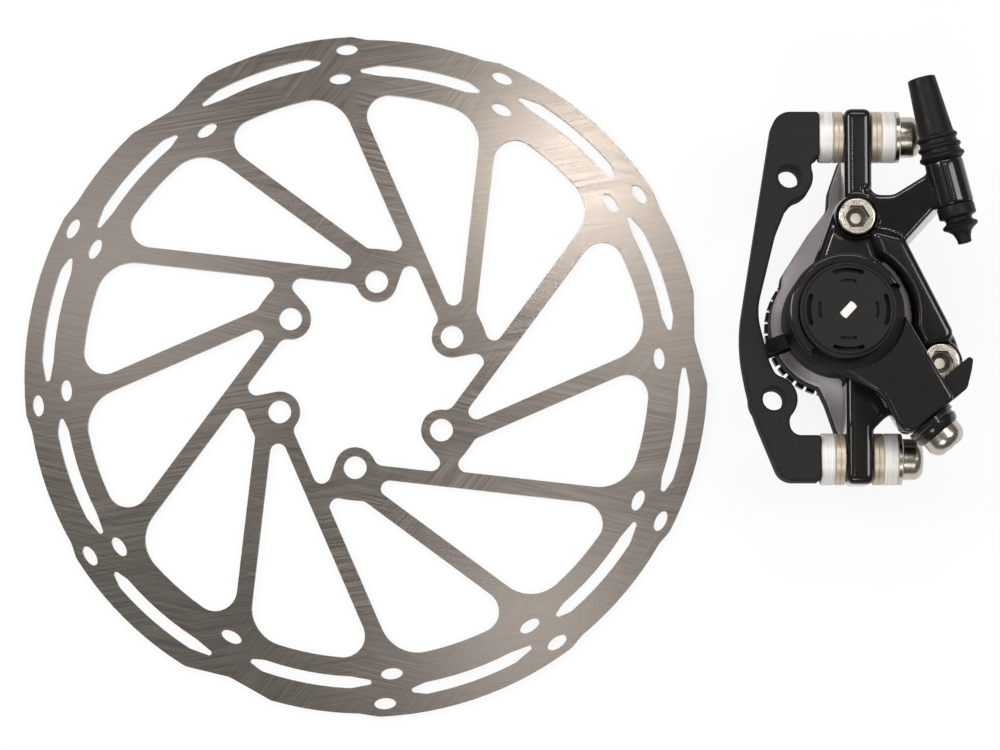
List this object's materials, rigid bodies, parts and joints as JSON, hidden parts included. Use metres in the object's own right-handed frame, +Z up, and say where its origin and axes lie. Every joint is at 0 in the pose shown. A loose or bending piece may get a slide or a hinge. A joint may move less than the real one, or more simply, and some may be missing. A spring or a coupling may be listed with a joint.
{
  "type": "bicycle disc brake",
  "caption": "Cable-pull disc brake set: flat slotted rotor with leaning spokes beside a two-piece caliper with brake arm, pad adjuster knobs and a bowed mount bracket.",
  "frame": {"origin": "centre of the rotor's bolt circle, on the surface that the set lies on", "axes": "+Z up along the rotor's axle line, +X from the rotor towards the caliper, +Y towards the cable boot"},
  "size_m": [0.2195, 0.1598, 0.0466],
  "materials": {
    "rotor_steel": "brushed stainless steel",
    "black_anodised": "matte black anodised",
    "gloss_black": "gloss black coating",
    "grey_casting": "machined grey face, black sides",
    "black_rubber": "moulded rubber",
    "arm_black": "satin black coating",
    "black_plastic": "moulded satin plastic",
    "pad_compound": "sintered friction compound",
    "silver_aluminium": "bead-blasted silver",
    "tan_steel": "turned, warm nickel plating",
    "bolt_steel": "polished steel",
    "plain_steel": "machined steel"
  },
  "bodies": {
    "caliper": {"rotor": "rotor_steel", "mount_bracket": "black_anodised", "convex_washer_1": "silver_aluminium", "concave_washer_1": "tan_steel", "convex_washer_2": "silver_aluminium", "concave_washer_2": "tan_steel", "convex_washer_3": "silver_aluminium", "concave_washer_3": "tan_steel", "convex_washer_4": "silver_aluminium", "concave_washer_4": "tan_steel", "mount_bolt_upper": "bolt_steel", "mount_bolt_lower": "bolt_steel", "body_bolt_1": "bolt_steel", "body_bolt_2": "bolt_steel", "outboard_housing": "gloss_black", "inboard_housing": "grey_casting", "cable_boot": "black_rubber", "cable_nipple": "black_rubber", "detent_ring": "plain_steel", "fixed_cam": "plain_steel"},
    "arm": {"brake_arm": "arm_black", "clamp_washer": "arm_black", "clamp_bolt": "bolt_steel", "drive_cam": "plain_steel"},
    "cage": {"ball_cage": "plain_steel", "cam_ball_1": "plain_steel", "cam_ball_2": "plain_steel", "cam_ball_3": "plain_steel"},
    "outer_thrust": {"thrust_washer": "plain_steel"},
    "outer_pad": {"outer_foot": "plain_steel", "outer_pad_plate": "plain_steel", "outer_lining": "pad_compound"},
    "outer_knob": {"outer_knob": "black_plastic", "foot_screw": "plain_steel"},
    "inner_knob": {"inner_knob": "black_plastic"},
    "inner_pad": {"inner_foot": "plain_steel", "inner_pad_plate": "plain_steel", "inner_lining": "pad_compound"}
  },
  "joints": [
    {"name": "arm_pivot", "type": "hinge", "parent": "caliper", "child": "arm", "pos_m": [0.1092, 0.0106, 0.0372], "axis": [0, 0, 1], "range_deg": [0, 35], "stiffness_Nm_per_rad": 0.3, "springref_deg": -34.38},
    {"name": "cage_turn", "type": "hinge", "parent": "caliper", "child": "cage", "pos_m": [0.1092, 0.0106, 0.0312], "axis": [0, 0, 1], "range_deg": [0, 18]},
    {"name": "outer_feed", "type": "slide", "parent": "caliper", "child": "outer_thrust", "axis": [0, 0, -1], "range_m": [0, 0.00121]},
    {"name": "outer_knob_turn", "type": "hinge", "parent": "caliper", "child": "outer_knob", "pos_m": [0.1092, 0.0106, 0.043], "axis": [0, 0, 1], "range_deg": [0, 725]},
    {"name": "outer_pad_adjust", "type": "slide", "parent": "outer_thrust", "child": "outer_pad", "axis": [0, 0, -1], "range_m": [0, 0.0016]},
    {"name": "inner_knob_turn", "type": "hinge", "parent": "caliper", "child": "inner_knob", "pos_m": [0.1092, 0.0106, 0.003], "axis": [0, 0, -1], "range_deg": [0, 725]},
    {"name": "inner_pad_adjust", "type": "slide", "parent": "caliper", "child": "inner_pad", "axis": [0, 0, 1], "range_m": [0, 0.0016]}
  ],
  "couplings": [
    {"joint": "cage_turn", "follows": "arm_pivot", "ratio": 0.5},
    {"joint": "outer_feed", "follows": "arm_pivot", "m_per_rad": 0.0019644},
    {"joint": "outer_knob_turn", "follows": "outer_pad_adjust", "rad_per_m": 7854},
    {"joint": "inner_knob_turn", "follows": "inner_pad_adjust", "rad_per_m": 7854}
  ]
}
